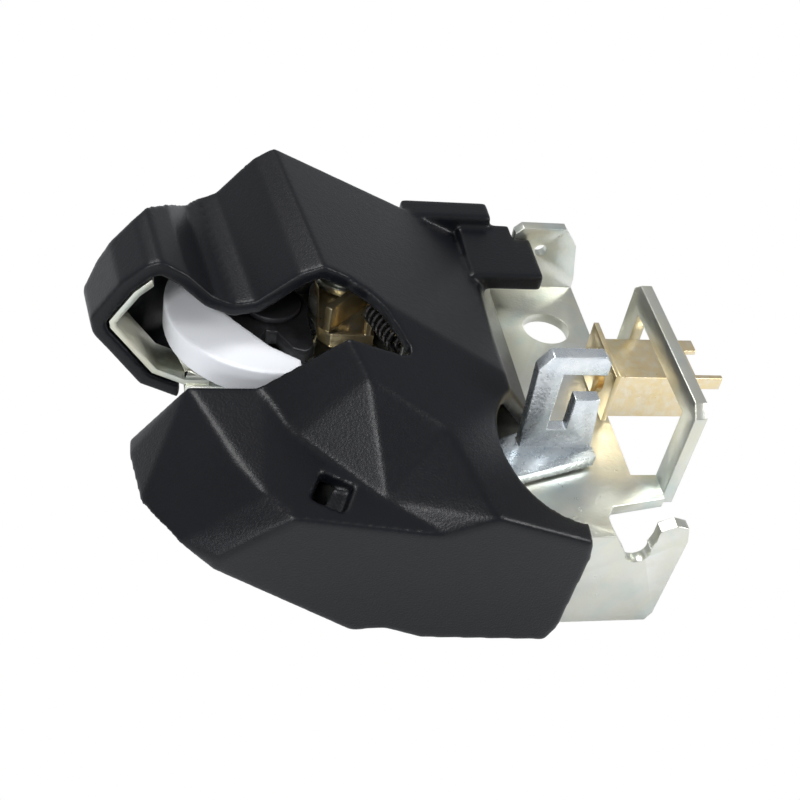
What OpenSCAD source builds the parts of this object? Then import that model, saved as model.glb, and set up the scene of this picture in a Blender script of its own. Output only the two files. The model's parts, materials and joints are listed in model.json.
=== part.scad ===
// Trunk latch: sheet metal frame, catch, pawl and cable lever under a moulded cover.
// Origin on the axis of the mounting hole, at the underside of the main plate.
// +X points away from the striker mouth, +Z to the side of the cover.

/* [Main plate] */
// Thickness of the frame sheet
plate_t = 2.2; // [1.8:0.1:2.6]
// Radius of the mounting hole
mount_r = 4.5; // [3:0.25:5.5]
// Right edge of the plate from the mounting hole
plate_right = 8.6; // [7.5:0.2:9.2]
// Far edge of the plate from the mounting hole
plate_far = 15.3; // [14.5:0.2:16]
// Height of the far flange above the plate
far_flange_h = 14; // [12:0.5:16]
// Radius of the locating hole in the far flange
locate_r = 1.25; // [1:0.05:1.6]

/* [Cable hoop] */
// Distance of the hoop fold from the mounting hole
hoop_x = 10.3; // [10:0.1:11.5]
// Height of the hoop above the plate
hoop_h = 19.6; // [18:0.2:22]
// Length of the hoop along the fold
hoop_len = 34.6; // [32:0.2:36]
// Width of the strip round the window
hoop_rim = 4.6; // [4:0.1:5]
// Depth of the window cut into the plate
window_in = 4.6; // [3.5:0.1:5]

/* [Near flange] */
// Depth of the near flange below the plate
near_flange_h = 22.6; // [20:0.2:25]
// Far end of the hook on the near flange
hook_x = 12.2; // [11:0.1:13]
// Width of the hook notch
notch_w = 4.4; // [4.1:0.1:5]

/* [Striker slot] */
// Width of the striker slot
slot_w = 12.5; // [11:0.1:13]
// Middle of the slot from the mounting hole
slot_mid = 24.25; // [24:0.05:24.5]

/* [Cover] */
// Wall of the moulded cover
cover_t = 2.6; // [2.2:0.1:3]
// Clearance between the cover and the frame
cover_gap = 0.3; // [0.2:0.05:0.4]
// Depth of the skirt below the plate
skirt_h = 21.4; // [20.8:0.2:23]

/* [Catch] */
// Outer radius of the catch arm
catch_r = 18.6; // [18:0.1:19]
// Outer radius of the spring collar
collar_r = 8.4; // [8:0.1:8.8]
// Wall of the spring collar
collar_t = 1.3; // [1:0.1:1.6]
// Thickness of the steel core
core_t = 3; // [2.5:0.1:3.4]
// Plastic above and below the core
overmould_t = 1.3; // [1:0.1:1.6]
// Radius of the catch pivot
catch_pin_r = 4; // [3.4:0.1:4.4]

/* [Pawl] */
// Thickness of the pawl
pawl_t = 3; // [2.5:0.1:3.4]
// Radius of the pawl pivot
pawl_pin_r = 3; // [2.4:0.1:3.4]
// Radius of the drive pin on the pawl
drive_r = 1.6; // [1.2:0.1:1.8]

/* [Release lever] */
// Thickness of the lever sheet
lever_t = 2.3; // [2:0.1:2.6]
// Radius of the lever pivot
lever_pin_r = 3; // [2.4:0.1:3.4]
// Height of the cable tab above the lever
tab_h = 20.5; // [18:0.5:21]

/* [Springs] */
// Wire of the pawl spring
pawl_wire = 0.9; // [0.7:0.05:1]
// Outer diameter of the pawl spring
pawl_coil_d = 5; // [4.4:0.1:5.4]
// Turns of the pawl spring
pawl_coils = 8; // [6:1:9]
// Wire of the torsion springs
torsion_wire = 1.1; // [0.8:0.05:1.3]

/* [Cable clip] */
// Thickness of the clip sheet
clip_t = 1; // [0.8:0.1:1.2]
// Width of the clip body
clip_w = 10.5; // [9.5:0.1:11]
// Height of the clip body
clip_h = 9.4; // [8.6:0.1:10]

/* [Fits] */
// Radial running clearance of every pivot
run_gap = 0.05; // [0.02:0.01:0.08]
// Thickness of the washers under the moving pieces
washer_t = 0.5; // [0.4:0.05:0.6]

/* [Hidden] */
$fn = 64;
eps = 0.01;

catch_at = [-55, -9];
pawl_at = [-40, 5];
lever_at = [-26, -41];
arm_tip = [-1.3, 30.6];
arm_r = 2.2;
drive_at = [lever_at[0] - 1 + arm_r + drive_r + 0.3, lever_at[1] + 23.4];
screw_at = [[-24, 9], [-66, -37], [-38, -47]];
boss_top = [14.3, 11, 9.4];
post_at = [[-46.6, 11], [-32.5, 9.5]];

slot_near = -slot_mid - slot_w / 2;
slot_far = -slot_mid + slot_w / 2;
slot_end = -35;
plate_slot_end = -38;
low_flange_z = 8.4;
plate_left = -69.8;
near_face = -53.3;
hoop_far = -9.2;
hoop_near = hoop_far - hoop_len;
clip_mid = [-20.3, plate_t + 0.9 + clip_h / 2];

level_0 = plate_t + washer_t;
level_1 = level_0 + lever_t + 0.3;
pawl_z = level_1;
core_z = pawl_z + pawl_t + 0.3 + overmould_t;
bridge_z = pawl_z + pawl_t + 0.4;
bridge_t = 1.6;
rivet_head_t = 1.2;

// Roof line of the far jaw at the slot, seen from the near side
ridge = [-48.6, 28.9];
roof_slope = 0.458;
roof_reach = 60;
lean = 0.15;
front = -56.5;
nose_top = [[-77.4, 2.5], [-82.4, 9.6], [-85.2, 13.4], [-85.7, 16.6], [-81, 24], [-76.8, 28],
    [-74.6, 28.8], [-70.3, 26.2], [-65.9, 21.9], [-62.6, 20.5], [-59.4, 21.1], [-52.6, 27.2],
    ridge, [ridge[0] + roof_reach, ridge[1] - roof_slope * roof_reach]];
nose_lip = [-70.8, -0.6];
nose_out = concat([nose_lip], nose_top, [[11, 0]]);
nose_in = concat([[nose_lip[0], -20], nose_lip], nose_top, [[14, -20]]);
roof_only = [[-100, -60], [-100, ridge[1] + roof_slope * (100 + ridge[0])],
    [14, ridge[1] - roof_slope * (14 - ridge[0])], [14, -60]];
jaw_plan = [[-94, -60], [-94, -22], [-88.6, -11.5], [-84.8, -7], [-78.4, -4.6], [-74, 1.2],
    [-67.5, 12.4], [-55, 17], [4, 17], [4, -60]];
right_wall = [[-110, 60], [-110, -60], [-9, -60], [-9, 2.5], [-16.9, 14.2], [-20, 60]];
lobe_low = [[-79.2, slot_near], [-79.4, -34], [-77.7, -44.5], [-76.3, -47.2], [-72.5, -52.7],
    [-66.5, front], [-5.6, front], [-5.6, slot_near]];
lobe_side = [[-95, 30], [-84, 12], [-79.4, 1.7], [-72.5, 2], [-66.5, -1], [-43.4, -17],
    [-37.5, -16.8], [-31, -19.6], [-8.5, -skirt_h], [-6.9, -18], [-5.7, 0.3], [-6.4, 5.3],
    [-8, 8.5], [-12, 12], [-12, 40]];
crease = [[-70.3, slot_near, 14], [-68.5, -34.5, 12.8], [-67, -39, 12.4], [-63.8, -46, 12.2],
    [-59.7, -52, 12], [-55, front, 11], [-46.5, front, 7], [-38, front, 3.6],
    [-5.6, front, 0], [-5.6, slot_near, 0], [-58, slot_near, 14]];

module pierce(at, r, low, high) {
    translate([at[0], at[1], low]) cylinder(r = r, h = high - low);
}

module bar(a, b, r) {
    hull() {
        translate(a) circle(r = r, $fn = 32);
        translate(b) circle(r = r, $fn = 32);
    }
}

// Sheet drawn in the XZ plane and given a width along Y
module along_y(y_low, y_high) {
    translate([0, y_high, 0]) rotate([90, 0, 0]) linear_extrude(y_high - y_low) children();
}

// Sheet drawn in the YZ plane and given a width along X
module along_x(x_low, x_high) {
    translate([x_low, 0, 0]) rotate([90, 0, 90]) linear_extrude(x_high - x_low) children();
}

module striker_path() {
    translate([-100, slot_near]) square([100 + plate_slot_end - slot_w / 2, slot_w]);
    translate([plate_slot_end - slot_w / 2, -slot_mid]) circle(r = slot_w / 2);
}

module plate_outline() {
    polygon([[plate_left, slot_near - 6], [-64, -47], [-56, near_face + 2], [-40, near_face],
        [-1.1, near_face], [-1.1, -48.6], [0.4, -46.6], [hoop_x, hoop_near - 1],
        [hoop_x, hoop_far], [plate_right, hoop_far + 4], [plate_right, plate_far],
        [-30, plate_far], [-56, plate_far - 3], [-66, 6.5], [plate_left, -3],
        [plate_left, slot_far]]);
}

module hook_profile() {
    difference() {
        polygon([[-40, -12], [-31, -near_flange_h + plate_t + 2], [-27, -near_flange_h + plate_t],
            [hook_x - 1.6, -near_flange_h + plate_t], [hook_x - 0.6, -near_flange_h + plate_t + 2],
            [hook_x, 0.6], [hook_x - 0.8, plate_t + 1.6], [hook_x - 3, plate_t + 2.3],
            [hook_x - 5.6, plate_t + 1], [-1.1, plate_t], [-40, plate_t]]);
        translate([hook_x - 8.2, -2.2]) circle(r = notch_w / 2);
        polygon([[hook_x - 10.4, -2.2], [hook_x - 13.3, plate_t], [hook_x - 13.3, 9],
            [hook_x - 5.7, 9], [hook_x - 5.7, plate_t - 1.4], [hook_x - 6.1, -1]]);
    }
}

module hoop_outline() {
    difference() {
        polygon([[hoop_near, 0], [hoop_far, 0], [hoop_far, plate_t + hoop_h - 2],
            [hoop_far - 2, plate_t + hoop_h], [hoop_near + 2, plate_t + hoop_h],
            [hoop_near, plate_t + hoop_h - 2]]);
        polygon([[hoop_near + hoop_rim, -1], [hoop_far - hoop_rim, -1],
            [hoop_far - hoop_rim, plate_t + hoop_h - hoop_rim],
            [hoop_near + hoop_rim, plate_t + hoop_h - hoop_rim]]);
    }
}

module far_flange_outline() {
    difference() {
        polygon([[-29, 0], [plate_right, 0], [plate_right, plate_t + 2],
            [plate_right - 1.5, plate_t + far_flange_h - 4],
            [plate_right - 4.5, plate_t + far_flange_h], [-4.6, plate_t + far_flange_h],
            [-6, plate_t + far_flange_h - 1.4], [-6, low_flange_z + 1.6],
            [-7.6, low_flange_z], [-29, low_flange_z]]);
        translate([0, plate_t + far_flange_h - 5.2]) circle(r = locate_r);
    }
}

module main_plate() {
    color([0.78, 0.79, 0.77]) {
        difference() {
            linear_extrude(plate_t) difference() {
                plate_outline();
                striker_path();
                circle(r = mount_r);
                translate([hoop_x - window_in, hoop_near + hoop_rim])
                    square([20, hoop_len - 2 * hoop_rim]);
            }
            pierce(catch_at, catch_pin_r, -1, 9);
            pierce(pawl_at, pawl_pin_r, -1, 9);
            pierce(lever_at, lever_pin_r, -1, 9);
            for (p = screw_at) pierce(p, 1.6, -1, 9);
            for (p = post_at) pierce(p, 1.5, -1, 9);
        }
        along_y(near_face, near_face + plate_t) hook_profile();
        along_y(plate_far - plate_t, plate_far) far_flange_outline();
        along_x(hoop_x, hoop_x + plate_t) hoop_outline();
        translate([spring_b[0] - 0.7, spring_b[1] - 1.53, plate_t - eps])
            cube([1.4, 1.5, spring_z - plate_t + 1.4]);
    }
}

module bridge_plate() {
    color([0.72, 0.74, 0.74]) difference() {
        translate([0, 0, bridge_z]) linear_extrude(bridge_t) union() {
            bar(post_at[0], pawl_at, 3.4);
            bar(post_at[1], pawl_at, 3.4);
            translate(pawl_at) circle(r = pawl_pin_r + 2.4);
        }
        pierce(pawl_at, pawl_pin_r, bridge_z - 1, bridge_z + 5);
        for (p = post_at) pierce(p, 1.5, bridge_z - 1, bridge_z + 5);
    }
}

module rivet(at, r, foot_r, waist_r, waist_low, waist_high) {
    pierce(at, foot_r, -rivet_head_t, 0);
    pierce(at, r, -eps, bridge_z + bridge_t + eps);
    pierce(at, waist_r, waist_low, waist_high);
    pierce(at, foot_r, bridge_z + bridge_t, bridge_z + bridge_t + rivet_head_t);
}

module bridge_posts() {
    color([0.7, 0.71, 0.7]) for (p = post_at) rivet(p, 1.5, 2.4, 2.6, plate_t, bridge_z);
}

module catch_rivet() {
    top = core_z + core_t + 0.3;
    color([0.2, 0.2, 0.2]) {
        pierce(catch_at, catch_pin_r + 1.4, -rivet_head_t, 0);
        pierce(catch_at, catch_pin_r, -eps, top);
        pierce(catch_at, catch_pin_r + 0.9, top, top + rivet_head_t);
    }
}

module pawl_rivet() {
    color([0.7, 0.71, 0.7]) rivet(pawl_at, pawl_pin_r, pawl_pin_r + 1.3, pawl_pin_r, 0, 1);
}

module lever_rivet() {
    top = level_0 + lever_t + 3.4;
    color([0.7, 0.71, 0.7]) {
        pierce(lever_at, lever_pin_r + 1.3, -rivet_head_t, 0);
        pierce(lever_at, lever_pin_r, -eps, top);
        pierce(lever_at, lever_pin_r + 1.6, top, top + 1);
    }
}

// Folded sheet that lines the nose of the cover
module guide_channel() {
    sheet = 1.2;
    near = slot_far + 0.5;
    far = near + 6.8;
    crest = 7;
    liner = [for (i = [0 : len(nose_out) - 1]) if (i != crest) nose_out[i]];
    outer = inset_outline(liner, cover_t + cover_gap);
    inner = inset_outline(liner, cover_t + cover_gap + sheet);
    last = crest - 1;
    color([0.75, 0.76, 0.75]) {
        along_y(near, far) polygon(concat([[-65.6, plate_t], [-70, plate_t]],
            [for (i = [1 : last]) outer[i]], [for (i = [last : -1 : 1]) inner[i]],
            [[-69.8, plate_t + sheet], [-65.6, plate_t + sheet]]));
        translate([-69.4, near + 2.2, plate_t + 0.4]) rotate([0, -24, 0]) cube([1.6, 4, 5.2]);
    }
}

module striker_buffer() {
    color([0.12, 0.12, 0.12]) difference() {
        translate([0, 0, plate_t]) linear_extrude(4) difference() {
            translate([plate_slot_end - 3, slot_near + 1]) square([6.5, slot_w - 2]);
            striker_path();
        }
        translate([-36, slot_near - 5, level_0 - 0.2]) cube([10, 40, 20]);
    }
}

// Arm of the catch round its pivot, drawn latched
module catch_arm(inset) {
    intersection() {
        circle(r = catch_r - inset);
        offset(delta = -inset) polygon([[-30, 12], [-17, 7], [-14.8, 3.9], [-10.8, 0],
            [-6.8, -5.2], [-1.4, -11.6], [3.4, -15], [3.4, -30], [-30, -30]]);
    }
}

module catch_web() {
    circle(r = catch_pin_r + 2.4);
    polygon([[-4, 5], [-12.6, 2.8], [-14, -4], [-5, -11.4], [-1.6, -6.2]]);
    polygon([[-1, -4], [2.6, -10.6], [4.8, -11.4], [6.4, -9.8], [6, -2]]);
}

module catch_core() {
    color([0.2, 0.2, 0.2]) translate([catch_at[0], catch_at[1], core_z])
        linear_extrude(core_t) difference() {
            union() {
                catch_arm(1.4);
                catch_web();
            }
            circle(r = catch_pin_r + run_gap);
        }
}

module catch_overmould() {
    color([0.95, 0.95, 0.96]) translate([catch_at[0], catch_at[1], core_z - overmould_t])
        difference() {
            linear_extrude(core_t + 2 * overmould_t) catch_arm(0);
            translate([0, 0, overmould_t]) linear_extrude(core_t) union() {
                catch_arm(1.4);
                catch_web();
            }
        }
}

// Collar under the catch that holds its spring
module catch_collar() {
    top = core_z - overmould_t - 0.4;
    color([0.6, 0.62, 0.62]) translate([catch_at[0], catch_at[1], 0]) difference() {
        translate([0, 0, plate_t]) cylinder(r = collar_r, h = top - plate_t);
        translate([0, 0, plate_t + 1]) cylinder(r = collar_r - collar_t, h = 30);
        translate([0, 0, -1]) cylinder(r = catch_pin_r, h = 30);
    }
}

wire_sides = 8;

// Round wire wound upwards from the XY plane, with steps flat pieces to a turn.
// Over the first and last ends pieces it winds out from the middle and back in.
module coil(coil_r, wire_r, turns, pitch, steps, ends) {
    total = floor(turns * steps);
    tail = 0.27;
    place = function(i, k) let(a = i * 360 / steps, b = k * 360 / wire_sides,
        open = min(1, tail + (1 - tail) * min(i, total - i) / ends),
        out = (ends > 1 ? coil_r * open : coil_r) + wire_r * cos(b))
        [out * cos(a), out * sin(a), wire_r + i * pitch / steps + wire_r * sin(b)];
    polyhedron(
        points = [for (i = [0 : total], k = [0 : wire_sides - 1]) place(i, k)],
        faces = concat([[for (k = [0 : wire_sides - 1]) k]],
            [[for (k = [wire_sides - 1 : -1 : 0]) total * wire_sides + k]],
            [for (i = [0 : total - 1], k = [0 : wire_sides - 1], h = [0, 1])
                let(n = (k + 1) % wire_sides, low = i * wire_sides, top = low + wire_sides)
                    h == 0 ? [low + k, top + k, top + n] : [low + k, top + n, low + n]]));
}

module catch_spring() {
    color([0.1, 0.1, 0.1]) translate([catch_at[0], catch_at[1], plate_t + 1])
        coil(collar_r - collar_t - torsion_wire, torsion_wire / 2, 3.4, torsion_wire + 0.1, 20, 1);
}

module pawl_outline() {
    polygon([[-4.4, 2], [-6.3, -13.2], [-4.2, -15.6], [3.6, -15.6], [5, -1]]);
    bar([0, 0], drive_at - pawl_at, 3);
    circle(r = pawl_pin_r + 2.2);
}

module pawl() {
    blade_h = core_z + core_t + 0.6 - pawl_z - pawl_t;
    pin_at = drive_at - pawl_at;
    hook_at = [spring_a[0] - pawl_at[0], spring_a[1] - pawl_at[1]];
    color([0.72, 0.6, 0.25]) translate([pawl_at[0], pawl_at[1], pawl_z]) difference() {
        union() {
            linear_extrude(pawl_t) pawl_outline();
            translate([-4.6, -14.9, pawl_t - eps]) rotate([0, 0, 45]) cube([11.4, 1.4, blade_h]);
            translate([hook_at[0] - 0.6, hook_at[1] + 0.06, pawl_t - eps])
                cube([1.2, 1.4, spring_z - pawl_z - pawl_t + 1.4]);
        }
        translate([0, 0, -1]) cylinder(r = pawl_pin_r + run_gap, h = 20);
        translate([pin_at[0], pin_at[1], -1]) cylinder(r = drive_r, h = 20);
    }
}

module pawl_drive_pin() {
    color([0.7, 0.7, 0.7]) pierce(drive_at, drive_r, level_0 + 0.3, pawl_z + pawl_t + 0.8);
}

// Tension spring between the pawl and the lug on the main plate
spring_z = pawl_z + 9.4;
spring_a = [-37.6, -10.6, spring_z];
spring_b = [-33.6, -21, spring_z];

module pawl_spring() {
    run = norm(spring_b - spring_a);
    turn = atan2(spring_b[1] - spring_a[1], spring_b[0] - spring_a[0]);
    wire_r = pawl_wire / 2;
    coil_r = pawl_coil_d / 2 - wire_r;
    color([0.08, 0.08, 0.08]) translate(spring_a) rotate([0, 0, turn]) rotate([0, 90, 0])
        coil(coil_r, wire_r, pawl_coils, (run - 2 * wire_r) / pawl_coils, 14, 9);
}

module lever_outline() {
    difference() {
        union() {
            circle(r = lever_pin_r + 3.6);
            polygon([[2, 5.4], [12.5, 9.4], [25, 6.6], [25, 3.4], [10, -1.2], [3, -6.2],
                [-5, -4], [-4, 4]]);
            bar([0, 0], arm_tip, arm_r);
        }
        circle(r = lever_pin_r + run_gap);
    }
}

module cable_tab() {
    along_y(8 - lever_t, 8) polygon([[11.6, 0], [11, tab_h - 3], [13, tab_h], [22, tab_h],
        [23.2, tab_h - 1.4], [23.2, tab_h - 4], [15.6, tab_h - 4], [15.6, 4.2], [19, 4.2],
        [19, tab_h - 9.4], [23.4, tab_h - 9.4], [24.6, 0]]);
}

module release_lever() {
    color([0.8, 0.81, 0.8]) translate([lever_at[0], lever_at[1], level_0]) {
        linear_extrude(lever_t) lever_outline();
        translate([0, 0, lever_t - eps]) cable_tab();
    }
}

module lever_spring() {
    color([0.1, 0.1, 0.1]) translate([lever_at[0], lever_at[1], level_0 + lever_t])
        coil(lever_pin_r + 0.3 + torsion_wire / 2, torsion_wire / 2, 1.6, torsion_wire + 0.1, 18, 1);
}

module pivot_washers() {
    color([0.9, 0.9, 0.86]) for (p = [[pawl_at, pawl_pin_r, pawl_z], [lever_at, lever_pin_r, level_0]])
        difference() {
            pierce(p[0], p[1] + 3, plate_t, p[2]);
            pierce(p[0], p[1] + run_gap, 0, 20);
        }
}

module cable_clip() {
    low = [clip_mid[0] - clip_w / 2, clip_mid[1] - clip_h / 2];
    color([0.83, 0.68, 0.4]) {
        along_x(4.6, 19.4) translate(low) difference() {
            square([clip_w, clip_h]);
            translate([clip_t, clip_t]) square([clip_w - 2 * clip_t, clip_h - 2 * clip_t]);
            translate([clip_w / 2 - 1, -1]) square([2, 3]);
        }
        along_x(3.6, 4.6 + eps) translate(low) difference() {
            translate([-0.8, -0.4]) square([clip_w + 4.4, clip_h + 1.2]);
            translate([clip_w / 2, clip_h / 2]) circle(r = 2.6);
            translate([clip_w / 2 - 1.6, -2]) square([3.2, clip_h / 2 + 2]);
        }
        translate([19.4 - eps, low[0], low[1] + clip_h - clip_t - 1.6]) cube([5, clip_t, 2.6]);
        translate([19.4 - eps, low[0] + clip_w - 3, low[1] + clip_h - clip_t])
            cube([2.4, 3, clip_t]);
    }
}

function unit(v) = v / norm(v);

// Mitred inset of an outline that runs clockwise, point by point
function inset_outline(p, d) = [for (i = [0 : len(p) - 1])
    let(a = unit(p[i] - p[(i + len(p) - 1) % len(p)]), b = unit(p[(i + 1) % len(p)] - p[i]),
        n = [a[1] + b[1], -a[0] - b[0]]) p[i] + n * d / (1 + a * b)];

// Outline of the far jaw carried along Y, leaning as its ridge does
module jaw_prism(outline, inset, y_low, y_high) {
    p = inset_outline(outline, inset);
    n = len(p);
    polyhedron(
        points = concat([for (q = p) [q[0] - lean * (y_low - slot_far), y_low, q[1]]],
            [for (q = p) [q[0] - lean * (y_high - slot_far), y_high, q[1]]]),
        faces = concat([[for (i = [0 : n - 1]) i]], [[for (i = [n - 1 : -1 : 0]) n + i]],
            [for (i = [0 : n - 1]) [i, n + i, n + (i + 1) % n, (i + 1) % n]]));
}

module hull_points(points) {
    hull() for (q = points) translate(q) cube(0.02, center = true);
}

function on_roof(x, y) = [x, y, 16 - 0.36 * x + 0.25 * y];
function down(list, z) = [for (q = list) [q[0], q[1], z]];

// Low outer part of the near jaw, under the crease that runs round it
module jaw_shelf() {
    hull_points(concat(crease, down(lobe_low, 2), down(lobe_low, -40)));
}

// Raised part of the near jaw, with three steep faces towards the shelf
module jaw_block() {
    foot = [[-59, slot_near, 14.2], [-55.8, -38, 12.5], [-54, -40.2, 12], [-40.2, -51.3, 9]];
    rim = [on_roof(-45.8, slot_near), on_roof(-43, -37.1), on_roof(-30.4, -42.4)];
    far = [on_roof(-44, -10), on_roof(4, -10), on_roof(4, -43)];
    toe = [[-40.2, -51.3, 9], [-38.2, front, 4]];
    edge = [on_roof(-30.4, -42.4), on_roof(-25, -53.3), on_roof(-23, front)];
    right = [on_roof(4, front), on_roof(4, -42)];
    hull_points(concat(foot, rim, far, down(foot, -40), down(far, -40)));
    hull_points(concat(toe, edge, right, down(toe, -40), down(right, -40)));
}

module cover_outer() {
    intersection() {
        jaw_prism(nose_out, 0, slot_far, 20);
        linear_extrude(90, center = true) polygon(jaw_plan);
        along_y(-80, 30) polygon(right_wall);
    }
    intersection() {
        union() {
            jaw_shelf();
            jaw_block();
        }
        jaw_prism(roof_only, 0, -70, 20);
        union() {
            along_y(-80, slot_near) polygon(lobe_side);
            intersection() {
                along_y(slot_near - 1, slot_far + 1) polygon(right_wall);
                translate([slot_end - 9, -70, 0]) cube([60, 100, 60]);
            }
        }
    }
}

module cover_inner() {
    intersection() {
        jaw_prism(nose_in, cover_t, slot_far - 1, 20);
        linear_extrude(90, center = true) offset(delta = -cover_t) polygon(jaw_plan);
        along_y(-80, 30) offset(delta = -cover_t) polygon(right_wall);
    }
    intersection() {
        translate([cover_t, cover_t, -1.15 * cover_t]) {
            jaw_shelf();
            jaw_block();
        }
        jaw_prism(roof_only, cover_t, -70, 20);
        along_y(-80, slot_far + 2) offset(delta = -cover_t) polygon(right_wall);
        union() {
            translate([-120, -70, -70]) cube([120, 70 + slot_near - cover_t, 130]);
            translate([slot_end + cover_t, -70, -70]) cube([60, 70 + slot_far + 2, 130]);
            translate([slot_end - 12, slot_near, -70]) cube([60, slot_w + 2, 130]);
        }
    }
}

module cover_slot() {
    translate([0, 0, -40]) linear_extrude(90) polygon([[-110, slot_far], [slot_end - 10.4, slot_far],
        [slot_end - 6.2, slot_far - 1.6], [slot_end - 3.6, slot_far - 4.2],
        [slot_end - 1.6, slot_far - 7.6], [slot_end, slot_far - 10.6],
        [slot_end - 0.4, slot_near + 0.4], [slot_end - 1.6, slot_near], [-110, slot_near]]);
}

module cover() {
    seat = plate_t + cover_gap;
    scallop_at = [-8.2, -40];
    scallop_r = 12.6;
    boss_r = 2.5;
    color([0.1, 0.1, 0.11]) difference() {
        union() {
            difference() {
                cover_outer();
                cover_inner();
            }
            for (i = [0 : len(screw_at) - 1]) pierce(screw_at[i], boss_r, seat, boss_top[i]);
            translate([-17, 0.5, 10.6]) cube([10.6, plate_far + 1.2, 3.5]);
            translate([-10, 0.5, 10.6]) cube([7, plate_far - plate_t - cover_gap - 0.5, 3.5]);
            translate([-28, plate_far + cover_gap, seat + 2]) cube([17.5, 5.4, 12]);
        }
        cover_slot();
        translate([-76.4, -36, -60]) cube([76.4, 36 + slot_near + 1, 60 + seat]);
        translate([-70.6, slot_near, -60]) cube([70.6, 15.6 - slot_near, 60 + seat]);
        translate([-12.9, near_face - cover_gap, -60]) cube([30, 60, 60 + seat]);
        for (p = screw_at) pierce(p, 1.5, 0, plate_t + 5.2);
        pierce(scallop_at, scallop_r, -30, 60);
        translate([-52.6, -52, 8.2]) rotate([0, 0, -22]) cube([5.4, 6, 5]);
        translate([-30, plate_far - plate_t - cover_gap, 0])
            cube([60, plate_t + 2 * cover_gap, low_flange_z + cover_gap]);
    }
}

module cover_screws() {
    color([0.3, 0.3, 0.3]) for (p = screw_at) {
        pierce(p, 1.5, -eps, plate_t + 5);
        pierce(p, 3, -1.6, 0);
    }
}

main_plate();
bridge_plate();
bridge_posts();
guide_channel();
striker_buffer();
cover();
cover_screws();
catch_core();
catch_overmould();
catch_collar();
catch_rivet();
catch_spring();
pawl();
pawl_drive_pin();
pawl_rivet();
pawl_spring();
release_lever();
lever_rivet();
lever_spring();
pivot_washers();
cable_clip();
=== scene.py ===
import json
import math

import bmesh
import bpy
from mathutils import Matrix, Vector

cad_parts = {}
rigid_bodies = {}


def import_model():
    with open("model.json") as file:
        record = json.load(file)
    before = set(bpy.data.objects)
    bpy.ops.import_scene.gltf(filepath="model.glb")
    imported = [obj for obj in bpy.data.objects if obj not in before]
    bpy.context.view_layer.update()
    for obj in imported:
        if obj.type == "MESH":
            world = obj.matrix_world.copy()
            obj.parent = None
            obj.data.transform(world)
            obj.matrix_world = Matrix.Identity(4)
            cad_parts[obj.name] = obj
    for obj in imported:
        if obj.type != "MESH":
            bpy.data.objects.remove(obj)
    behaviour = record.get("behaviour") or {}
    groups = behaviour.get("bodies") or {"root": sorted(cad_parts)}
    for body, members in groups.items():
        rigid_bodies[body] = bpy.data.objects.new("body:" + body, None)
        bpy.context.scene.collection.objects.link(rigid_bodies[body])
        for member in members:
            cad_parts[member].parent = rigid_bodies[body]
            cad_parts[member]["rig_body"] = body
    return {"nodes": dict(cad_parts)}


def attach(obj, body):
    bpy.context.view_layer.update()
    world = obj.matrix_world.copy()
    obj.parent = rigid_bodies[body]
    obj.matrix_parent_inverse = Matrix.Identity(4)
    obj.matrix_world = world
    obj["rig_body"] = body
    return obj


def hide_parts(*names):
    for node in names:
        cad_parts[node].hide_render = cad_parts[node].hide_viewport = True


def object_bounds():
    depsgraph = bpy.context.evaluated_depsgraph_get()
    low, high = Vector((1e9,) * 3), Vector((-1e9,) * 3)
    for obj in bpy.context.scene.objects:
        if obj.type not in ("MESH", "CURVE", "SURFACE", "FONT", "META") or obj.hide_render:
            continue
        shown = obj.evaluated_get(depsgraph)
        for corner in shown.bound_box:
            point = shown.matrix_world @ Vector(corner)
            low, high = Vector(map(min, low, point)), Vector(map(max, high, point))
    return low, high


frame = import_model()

boundsAtLoad = [list(corner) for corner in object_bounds()]
nodes = frame["nodes"]
bodyOf = {name: nodes[name]["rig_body"] for name in nodes}
scene = bpy.context.scene
print("stage: loaded", len(nodes), "nodes")


class Socket:
    def __init__(self, tree, out=None):
        self.tree = tree
        self.out = out

    # Settings come before the sockets, because they decide which sockets a node has
    def make(self, kind, inputs=(), output=0, **settings):
        node = self.tree.nodes.new("ShaderNode" + kind)
        for name, value in settings.items():
            setattr(node, name, value)
        for name, value in dict(inputs).items():
            if isinstance(value, Socket):
                self.tree.links.new(value.out, node.inputs[name])
            else:
                node.inputs[name].default_value = value
        return Socket(self.tree, node.outputs[output] if node.outputs else None)

    def maths(self, operation, first, second):
        return self.make("Math", {0: first, 1: second}, operation=operation)

    def __add__(self, other):
        return self.maths("ADD", self, other)

    def __sub__(self, other):
        return self.maths("SUBTRACT", self, other)

    def __rsub__(self, other):
        return self.maths("SUBTRACT", other, self)

    def __mul__(self, other):
        return self.maths("MULTIPLY", self, other)

    __radd__ = __add__
    __rmul__ = __mul__

    def blend(self, low, high):
        inputs = {0: self, 6: low, 7: high}  # the factor and the two colours
        return self.make("Mix", inputs, output=2, data_type="RGBA")

    def ramp(self, low, high):
        inputs = {"Value": self, "From Min": low, "From Max": high}
        return self.make("MapRange", inputs, clamp=True)


def tone(color):
    return (*color, 1)


# What all finishes share
broadSpan = (0.32, 0.68)  # the part of a noise's range that is drawn out to 0 and 1
edgeSpan = (0.515, 0.6)
patchyEdgeSpan = (0.42, 0.66)
thirdSpan = (0.5, 0.72)
patchyEdgeScale = 6  # times the scale of the broad noise
thirdScale = 1.9
thirdTwist = 1.5
evenWearAndHighlight = 0.35  # the share of an edge's wear and painted highlight that is the same all along it
patchyWearAndHighlight = 0.65
broadRough = 0.3
fineRelief = 0.5
reliefDepth = 0.0002
coatRough = 0.2


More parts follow.
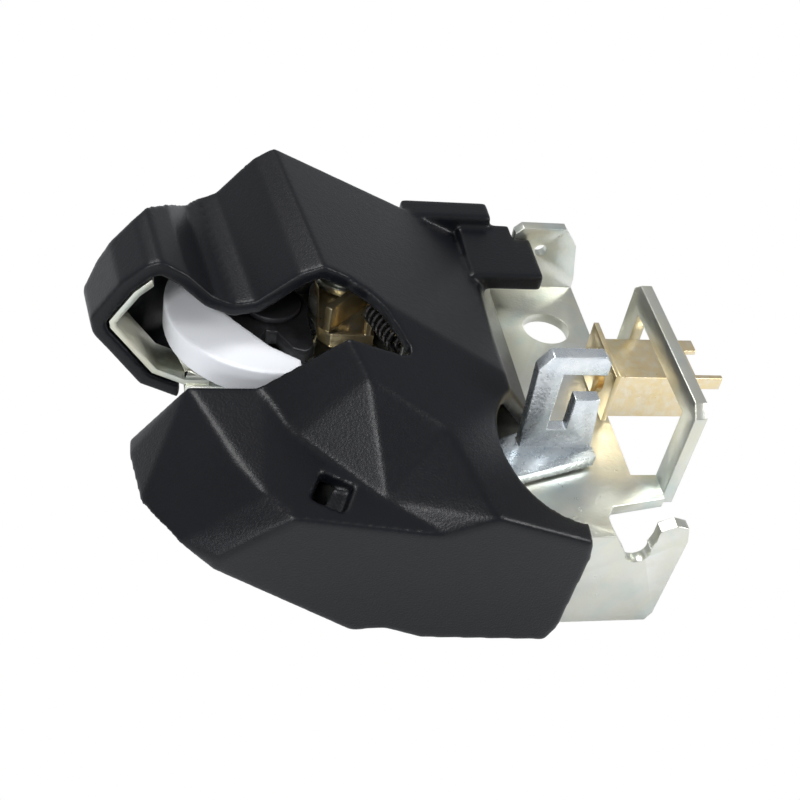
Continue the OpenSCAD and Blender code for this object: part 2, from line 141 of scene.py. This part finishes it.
def makeMaterial(name, settings):
    material = bpy.data.materials.new(name)
    material.use_nodes = True
    tree = material.node_tree
    shader = tree.nodes["Principled BSDF"]
    root = Socket(tree)
    place = root.make("TexCoord", output="Object")

    def noise(scale, detail, twist=0):
        inputs = {"Vector": place, "Scale": scale, "Detail": detail, "Distortion": twist}
        return root.make("TexNoise", inputs)

    broad = noise(settings["broad"], detail=4, twist=settings.get("twist", 0)).ramp(*broadSpan)
    fine = noise(settings["fine"], detail=5)
    grain = noise(settings["grain"], detail=2)
    # Convex edges are lightened towards edgeColor, partly as edge wear and partly as a painted highlight
    edge = root.make("NewGeometry", output="Pointiness").ramp(*edgeSpan)
    patchyEdge = noise(settings["broad"] * patchyEdgeScale, detail=6).ramp(*patchyEdgeSpan)
    edgeWearAndHighlight = edge * (evenWearAndHighlight + patchyWearAndHighlight * patchyEdge) * settings["wearAndHighlight"]

    color = broad.blend(tone(settings["color"]), tone(settings["second"]))
    if "third" in settings:
        spread = noise(settings["broad"] * thirdScale, detail=3, twist=thirdTwist).ramp(*thirdSpan)
        color = (spread * settings["thirdShare"]).blend(color, tone(settings["third"]))
    # The painted edge highlight and edge wear go on last
    color = edgeWearAndHighlight.blend(color, tone(settings["edgeColor"]))

    roughSpread = settings["roughSpread"]
    rough = settings["rough"] + roughSpread * (fine - 0.5) + broadRough * roughSpread * broad
    relief = {"Height": grain + fineRelief * fine, "Strength": settings["bump"], "Distance": reliefDepth}
    bump = root.make("Bump", relief)

    tree.links.new(color.out, shader.inputs["Base Color"])
    tree.links.new(rough.out, shader.inputs["Roughness"])
    tree.links.new(bump.out, shader.inputs["Normal"])
    shader.inputs["Metallic"].default_value = settings["metal"]
    shader.inputs["Specular IOR Level"].default_value = settings.get("specular", 0.5)
    shader.inputs["Coat Weight"].default_value = settings.get("coat", 0)
    shader.inputs["Coat Roughness"].default_value = coatRough
    return material


# The scales broad, fine and grain are of noises on a piece measured in metres
# edgeColor is the lighter colour painted on convex edges: partly wear, partly a painted highlight
materialSettings = {
    "zinc_sheet": dict(
        color=(0.66, 0.67, 0.62), second=(0.72, 0.7, 0.56), third=(0.45, 0.6, 0.62), thirdShare=0.45,
        edgeColor=(0.85, 0.86, 0.84), metal=0.95, rough=0.3, roughSpread=0.22,
        broad=38, twist=1.2, fine=420, grain=1500, bump=0.18, wearAndHighlight=0.6),
    "bright_zinc": dict(
        color=(0.62, 0.68, 0.72), second=(0.78, 0.82, 0.84), third=(0.5, 0.6, 0.72), thirdShare=0.4,
        edgeColor=(0.92, 0.94, 0.95), metal=0.95, rough=0.24, roughSpread=0.24,
        broad=90, twist=1.4, fine=700, grain=1800, bump=0.2, wearAndHighlight=0.7),
    "zinc_rivet": dict(
        color=(0.45, 0.47, 0.48), second=(0.58, 0.6, 0.6), edgeColor=(0.8, 0.81, 0.8),
        metal=0.95, rough=0.34, roughSpread=0.2,
        broad=120, fine=800, grain=2200, bump=0.2, wearAndHighlight=0.5),
    # Near black steel: partly the catch's own dark finish, partly painted shade of the hollow around the
    # catch
    "dark_steel": dict(
        color=(0.045, 0.045, 0.05), second=(0.08, 0.08, 0.085), edgeColor=(0.24, 0.24, 0.25),
        metal=0.8, rough=0.42, roughSpread=0.2,
        broad=90, fine=700, grain=2000, bump=0.2, wearAndHighlight=0.5),
    "dark_screw": dict(
        color=(0.05, 0.05, 0.055), second=(0.08, 0.08, 0.085), edgeColor=(0.26, 0.26, 0.27),
        metal=0.8, rough=0.38, roughSpread=0.18,
        broad=150, fine=900, grain=2400, bump=0.18, wearAndHighlight=0.6),
    "spring_wire": dict(
        color=(0.03, 0.03, 0.033), second=(0.055, 0.053, 0.05), edgeColor=(0.22, 0.21, 0.2),
        metal=0.75, rough=0.26, roughSpread=0.16, coat=0.4,
        broad=200, fine=1200, grain=3000, bump=0.12, wearAndHighlight=0.3),
    "yellow_zinc": dict(
        color=(0.8, 0.6, 0.26), second=(0.86, 0.7, 0.4), third=(0.72, 0.6, 0.42), thirdShare=0.4,
        edgeColor=(0.86, 0.8, 0.66), metal=0.92, rough=0.3, roughSpread=0.22,
        broad=110, twist=1.1, fine=700, grain=2000, bump=0.18, wearAndHighlight=0.7),
    "black_moulding": dict(
        color=(0.0035, 0.0039, 0.0055), second=(0.005, 0.0055, 0.0075), edgeColor=(0.02, 0.021, 0.027),
        metal=0.0, rough=0.32, roughSpread=0.12, specular=0.28,
        broad=30, fine=900, grain=2600, bump=0.2, wearAndHighlight=0.5),
    "white_moulding": dict(
        color=(0.9, 0.92, 0.96), second=(0.94, 0.95, 0.98), edgeColor=(0.96, 0.97, 0.98),
        metal=0.0, rough=0.36, roughSpread=0.1,
        broad=50, fine=500, grain=1600, bump=0.06, wearAndHighlight=0.3),
    "pale_plastic": dict(
        color=(0.7, 0.68, 0.62), second=(0.76, 0.74, 0.69), edgeColor=(0.82, 0.81, 0.77),
        metal=0.0, rough=0.45, roughSpread=0.1,
        broad=90, fine=800, grain=2200, bump=0.1, wearAndHighlight=0.3),
    "black_rubber": dict(
        color=(0.014, 0.014, 0.014), second=(0.02, 0.02, 0.02), edgeColor=(0.04, 0.04, 0.04),
        metal=0.0, rough=0.62, roughSpread=0.14,
        broad=80, fine=900, grain=2400, bump=0.3, wearAndHighlight=0.3),
}
materials = {name: makeMaterial(name, settings) for name, settings in materialSettings.items()}
print("stage: materials")


# A rounded piece never stands out of its node's own box
def keepInside(mesh, source):
    low = [min(v.co[k] for v in source.vertices) for k in range(3)]
    high = [max(v.co[k] for v in source.vertices) for k in range(3)]
    for v in mesh.vertices:
        v.co = Vector(min(max(v.co[k], low[k]), high[k]) for k in range(3))


def showPiece(name, mesh, slot):
    piece = bpy.data.objects.new(name + "_look", mesh)
    scene.collection.objects.link(piece)
    mesh.materials.clear()
    mesh.materials.append(materials[slot])
    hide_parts(name)
    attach(piece, bodyOf[name])


def smoothShading(mesh, angle):
    for polygon in mesh.polygons:
        polygon.use_smooth = True
    mesh.set_sharp_from_angle(angle=math.radians(angle))


# Angles in degrees, lengths in metres
weldDistance = 0.000002
flatAngle = 2
bevelAngle = 35
bevelSegments = 2
bevelProfile = 0.5
pressedShading = 32
mouldedShading = 60
relaxFactor = 0.5


# The edges of pressed, turned and wound pieces are broken by a narrow bevel, where they have one
def bevelPiece(name, slot, settings):
    source = nodes[name].data
    work = bmesh.new()
    work.from_mesh(source)
    bmesh.ops.remove_doubles(work, verts=work.verts, dist=weldDistance)
    bmesh.ops.dissolve_limit(work, angle_limit=math.radians(flatAngle), verts=work.verts, edges=work.edges)
    bevel = settings["bevel"]
    if bevel > 0:
        limit = math.radians(bevelAngle)
        sharp = [e for e in work.edges
            if len(e.link_faces) == 2 and e.calc_face_angle() > limit and e.calc_length() > bevel]
        bmesh.ops.bevel(work, geom=sharp, offset=bevel, segments=bevelSegments, profile=bevelProfile,
            affect="EDGES")
    bmesh.ops.triangulate(work, faces=[f for f in work.faces if len(f.verts) > 4])
    mesh = bpy.data.meshes.new(name + "_look")
    work.to_mesh(mesh)
    work.free()
    keepInside(mesh, source)
    smoothShading(mesh, pressedShading)
    showPiece(name, mesh, slot)


# Moulded pieces are rounded all over: remeshed finely, relaxed, then thinned out
def mouldPiece(name, slot, settings):
    source = nodes[name].data
    draft = bpy.data.objects.new(name + "_draft", source.copy())
    scene.collection.objects.link(draft)
    weld = draft.modifiers.new("weld", "WELD")
    weld.merge_threshold = weldDistance
    grid = draft.modifiers.new("grid", "REMESH")
    grid.mode = "VOXEL"
    grid.voxel_size = settings["voxel"]
    relax = draft.modifiers.new("relax", "SMOOTH")
    relax.factor = relaxFactor
    relax.iterations = settings["rounds"]
    thin = draft.modifiers.new("thin", "DECIMATE")
    thin.ratio = settings["keep"]
    graph = bpy.context.evaluated_depsgraph_get()
    mesh = bpy.data.meshes.new_from_object(draft.evaluated_get(graph))
    mesh.name = name + "_look"
    bpy.data.objects.remove(draft)
    keepInside(mesh, source)
    smoothShading(mesh, mouldedShading)
    showPiece(name, mesh, slot)


mouldings = {
    "cover": ("black_moulding", dict(voxel=0.00036, rounds=24, keep=0.25)),
    "catch_overmould": ("white_moulding", dict(voxel=0.0003, rounds=10, keep=0.4)),
    "striker_buffer": ("black_rubber", dict(voxel=0.0003, rounds=5, keep=0.5)),
}
pressings = {
    "main_plate": ("zinc_sheet", dict(bevel=0.00018)),
    "bridge_plate": ("zinc_sheet", dict(bevel=0.00015)),
    "bridge_posts": ("zinc_rivet", dict(bevel=0.0002)),
    "guide_channel": ("zinc_sheet", dict(bevel=0.00012)),
    "cover_screws": ("dark_screw", dict(bevel=0.0002)),
    # The catch core and catch rivet are dark partly as painted shade of the catch's hollow
    "catch_core": ("dark_steel", dict(bevel=0.0002)),
    "catch_collar": ("bright_zinc", dict(bevel=0.0002)),
    "catch_rivet": ("dark_steel", dict(bevel=0.0003)),
    "catch_spring": ("spring_wire", dict(bevel=0)),
    "pawl": ("yellow_zinc", dict(bevel=0.00018)),
    "pawl_drive_pin": ("zinc_rivet", dict(bevel=0.0002)),
    "pawl_rivet": ("zinc_rivet", dict(bevel=0.0003)),
    "pawl_spring": ("spring_wire", dict(bevel=0)),
    "release_lever": ("bright_zinc", dict(bevel=0.0002)),
    "lever_rivet": ("zinc_rivet", dict(bevel=0.0003)),
    "lever_spring": ("spring_wire", dict(bevel=0)),
    "pivot_washers": ("pale_plastic", dict(bevel=0.0001)),
    "cable_clip": ("yellow_zinc", dict(bevel=0.00012)),
}
for name, (slot, settings) in mouldings.items():
    mouldPiece(name, slot, settings)
print("stage: mouldings")
for name, (slot, settings) in pressings.items():
    bevelPiece(name, slot, settings)
print("stage: pressings")


# Fitted to the photo's straight edges
cameraSettings = dict(
    lens=58.5, near=0.01, far=20, at=(-0.08346, -0.18454, 0.15485),
    right=(0.97485, -0.15648, 0.15869), up=(-0.00912, 0.68344, 0.72995), back=(-0.22268, -0.71304, 0.66482))


def makeCamera(settings):
    data = bpy.data.cameras.new("camera")
    data.lens = settings["lens"]
    data.clip_start = settings["near"]
    data.clip_end = settings["far"]
    camera = bpy.data.objects.new("camera", data)
    scene.collection.objects.link(camera)
    turn = Matrix([Vector(settings[side]) for side in ("right", "up", "back")]).transposed().to_4x4()
    turn.translation = Vector(settings["at"])
    camera.matrix_world = turn
    scene.camera = camera


middle = (-0.035, -0.02, 0.005)
lamps = {
    "keyLamp": dict(at=(-0.35, 0.3, 0.75), aim=middle, size=(0.4, 0.25), power=3.4),
    "frontLamp": dict(
        at=(-0.45, -0.7, 0.25), aim=middle, size=(0.35, 0.15), power=1.1, color=(0.94, 0.97, 1)),
    "rightLamp": dict(at=(0.6, -0.25, 0.4), aim=middle, size=(0.25, 0.3), power=2.6),
    "slotLamp": dict(at=(-0.28, -0.5, 0.5), aim=(-0.055, -0.02, 0.01), size=(0.12, 0.12), power=1.5),
}


def makeLamp(name, settings):
    data = bpy.data.lights.new(name, "AREA")
    data.shape = "RECTANGLE"
    data.size, data.size_y = settings["size"]
    data.energy = settings["power"]
    data.color = settings.get("color", (1, 1, 1))
    lamp = bpy.data.objects.new(name, data)
    scene.collection.objects.link(lamp)
    lamp.location = settings["at"]
    aim = Vector(settings["aim"]) - Vector(settings["at"])
    lamp.rotation_mode = "QUATERNION"
    lamp.rotation_quaternion = aim.to_track_quat("-Z", "Y")


# The camera sees plain white, and every other ray meets the shader of the given kind
def showWhite(owner, end, whiteKind, kind, inputs):
    owner.use_nodes = True
    owner.node_tree.nodes.clear()
    root = Socket(owner.node_tree)
    seen = root.make("LightPath", output="Is Camera Ray")
    lit = root.make(kind, inputs)
    white = root.make(whiteKind, {"Color": tone((1, 1, 1)), "Strength": 1})
    both = root.make("MixShader", {0: seen, 1: lit, 2: white})
    root.make(end, {"Surface": both})


def makeWorld(settings):
    world = bpy.data.worlds.new("world")
    scene.world = world
    inputs = {"Color": tone(settings["color"]), "Strength": settings["strength"]}
    showWhite(world, "OutputWorld", "Background", "Background", inputs)


def makeFloor(settings):
    half = settings["half"]
    level = boundsAtLoad[0][2] - settings["gap"]
    mesh = bpy.data.meshes.new("floor")
    corners = [(-half, -half, level), (half, -half, level), (half, half, level), (-half, half, level)]
    mesh.from_pydata(corners, [], [(0, 1, 2, 3)])
    floor = bpy.data.objects.new("floor", mesh)
    scene.collection.objects.link(floor)
    material = bpy.data.materials.new("floor")
    showWhite(material, "OutputMaterial", "Emission", "BsdfDiffuse", {"Color": tone(settings["color"])})
    mesh.materials.append(material)


makeCamera(cameraSettings)
makeWorld(dict(color=(0.95, 0.97, 1), strength=0.42))
for name, settings in lamps.items():
    makeLamp(name, settings)
makeFloor(dict(half=1.5, gap=0.0005, color=(0.86, 0.87, 0.88)))
scene.view_settings.view_transform = "Standard"
print("stage: camera, lamps and floor")
